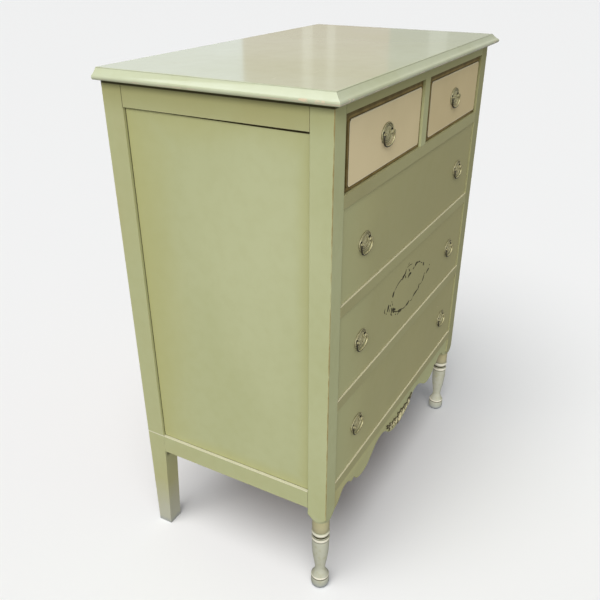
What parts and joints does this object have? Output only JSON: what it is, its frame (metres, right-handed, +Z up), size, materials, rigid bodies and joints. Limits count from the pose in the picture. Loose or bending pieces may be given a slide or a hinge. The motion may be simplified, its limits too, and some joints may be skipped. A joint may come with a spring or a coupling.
{
  "type": "tall chest of drawers",
  "caption": "Tall painted chest with sliding drawers on wooden runners, swinging bail pulls, moulded top, framed side panels, carved apron, turned front legs and tapered back legs.",
  "frame": {"origin": "on the floor, under the middle of the overall box", "axes": "+Z up, the drawers open towards -Y, +X to the right of someone facing the drawers, left-right symmetric"},
  "size_m": [0.893, 0.5034, 1.1198],
  "materials": {
    "sage_paint": "glossy sage-green paint, shaded darker at panel edges and worn through in places",
    "cream_paint": "semi-gloss cream-tan paint with olive-brown borders",
    "bare_wood": "unfinished, aged",
    "aged_brass": "antiqued, green-brown with darkened recesses"
  },
  "bodies": {
    "carcass": {"top_slab": "sage_paint", "front_post_left": "sage_paint", "rear_post_left": "sage_paint", "side_panel_left": "sage_paint", "side_top_rail_left": "sage_paint", "side_bottom_rail_left": "sage_paint", "front_post_right": "sage_paint", "rear_post_right": "sage_paint", "side_panel_right": "sage_paint", "side_top_rail_right": "sage_paint", "side_bottom_rail_right": "sage_paint", "top_rail_and_stile": "sage_paint", "apron": "sage_paint", "apron_carving": "cream_paint", "back_panel": "bare_wood", "small_drawer_frame": "sage_paint", "upper_drawer_frame": "sage_paint", "middle_drawer_frame": "sage_paint", "lower_drawer_frame": "sage_paint"},
    "small_drawer_left_bail": {"small_drawer_left_bail": "aged_brass"},
    "small_drawer_left": {"small_drawer_left_front": "cream_paint", "small_drawer_left_side_left": "bare_wood", "small_drawer_left_side_right": "bare_wood", "small_drawer_left_back": "bare_wood", "small_drawer_left_bottom": "bare_wood", "small_drawer_left_pull_plate": "aged_brass"},
    "small_drawer_right_bail": {"small_drawer_right_bail": "aged_brass"},
    "small_drawer_right": {"small_drawer_right_front": "cream_paint", "small_drawer_right_side_left": "bare_wood", "small_drawer_right_side_right": "bare_wood", "small_drawer_right_back": "bare_wood", "small_drawer_right_bottom": "bare_wood", "small_drawer_right_pull_plate": "aged_brass"},
    "upper_drawer_bail_left": {"upper_drawer_bail_left": "aged_brass"},
    "upper_drawer_bail_right": {"upper_drawer_bail_right": "aged_brass"},
    "upper_drawer": {"upper_drawer_front": "sage_paint", "upper_drawer_side_left": "bare_wood", "upper_drawer_side_right": "bare_wood", "upper_drawer_back": "bare_wood", "upper_drawer_bottom": "bare_wood", "upper_drawer_pull_plate_left": "aged_brass", "upper_drawer_pull_plate_right": "aged_brass"},
    "middle_drawer_bail_left": {"middle_drawer_bail_left": "aged_brass"},
    "middle_drawer_bail_right": {"middle_drawer_bail_right": "aged_brass"},
    "middle_drawer": {"middle_drawer_front": "sage_paint", "middle_drawer_side_left": "bare_wood", "middle_drawer_side_right": "bare_wood", "middle_drawer_back": "bare_wood", "middle_drawer_bottom": "bare_wood", "middle_drawer_pull_plate_left": "aged_brass", "middle_drawer_pull_plate_right": "aged_brass"},
    "lower_drawer_bail_left": {"lower_drawer_bail_left": "aged_brass"},
    "lower_drawer_bail_right": {"lower_drawer_bail_right": "aged_brass"},
    "lower_drawer": {"lower_drawer_front": "sage_paint", "lower_drawer_side_left": "bare_wood", "lower_drawer_side_right": "bare_wood", "lower_drawer_back": "bare_wood", "lower_drawer_bottom": "bare_wood", "lower_drawer_pull_plate_left": "aged_brass", "lower_drawer_pull_plate_right": "aged_brass"}
  },
  "joints": [
    {"name": "small_drawer_left_slide", "type": "slide", "parent": "carcass", "child": "small_drawer_left", "axis": [0, -1, 0], "range_m": [0, 0.33]},
    {"name": "small_drawer_left_bail_swing", "type": "hinge", "parent": "small_drawer_left", "child": "small_drawer_left_bail", "pos_m": [-0.19775, -0.23355, 1.00775], "axis": [-1, 0, 0], "range_deg": [-4, 165]},
    {"name": "small_drawer_right_slide", "type": "slide", "parent": "carcass", "child": "small_drawer_right", "axis": [0, -1, 0], "range_m": [0, 0.33]},
    {"name": "small_drawer_right_bail_swing", "type": "hinge", "parent": "small_drawer_right", "child": "small_drawer_right_bail", "pos_m": [0.19775, -0.23355, 1.00775], "axis": [-1, 0, 0], "range_deg": [-4, 165]},
    {"name": "upper_drawer_slide", "type": "slide", "parent": "carcass", "child": "upper_drawer", "axis": [0, -1, 0], "range_m": [0, 0.33]},
    {"name": "upper_drawer_bail_left_swing", "type": "hinge", "parent": "upper_drawer", "child": "upper_drawer_bail_left", "pos_m": [-0.278, -0.23355, 0.82025], "axis": [-1, 0, 0], "range_deg": [-4, 165]},
    {"name": "upper_drawer_bail_right_swing", "type": "hinge", "parent": "upper_drawer", "child": "upper_drawer_bail_right", "pos_m": [0.278, -0.23355, 0.82025], "axis": [-1, 0, 0], "range_deg": [-4, 165]},
    {"name": "middle_drawer_slide", "type": "slide", "parent": "carcass", "child": "middle_drawer", "axis": [0, -1, 0], "range_m": [0, 0.33]},
    {"name": "middle_drawer_bail_left_swing", "type": "hinge", "parent": "middle_drawer", "child": "middle_drawer_bail_left", "pos_m": [-0.278, -0.23355, 0.60625], "axis": [-1, 0, 0], "range_deg": [-4, 165]},
    {"name": "middle_drawer_bail_right_swing", "type": "hinge", "parent": "middle_drawer", "child": "middle_drawer_bail_right", "pos_m": [0.278, -0.23355, 0.60625], "axis": [-1, 0, 0], "range_deg": [-4, 165]},
    {"name": "lower_drawer_slide", "type": "slide", "parent": "carcass", "child": "lower_drawer", "axis": [0, -1, 0], "range_m": [0, 0.33]},
    {"name": "lower_drawer_bail_left_swing", "type": "hinge", "parent": "lower_drawer", "child": "lower_drawer_bail_left", "pos_m": [-0.278, -0.23355, 0.39225], "axis": [-1, 0, 0], "range_deg": [-4, 165]},
    {"name": "lower_drawer_bail_right_swing", "type": "hinge", "parent": "lower_drawer", "child": "lower_drawer_bail_right", "pos_m": [0.278, -0.23355, 0.39225], "axis": [-1, 0, 0], "range_deg": [-4, 165]}
  ]
}
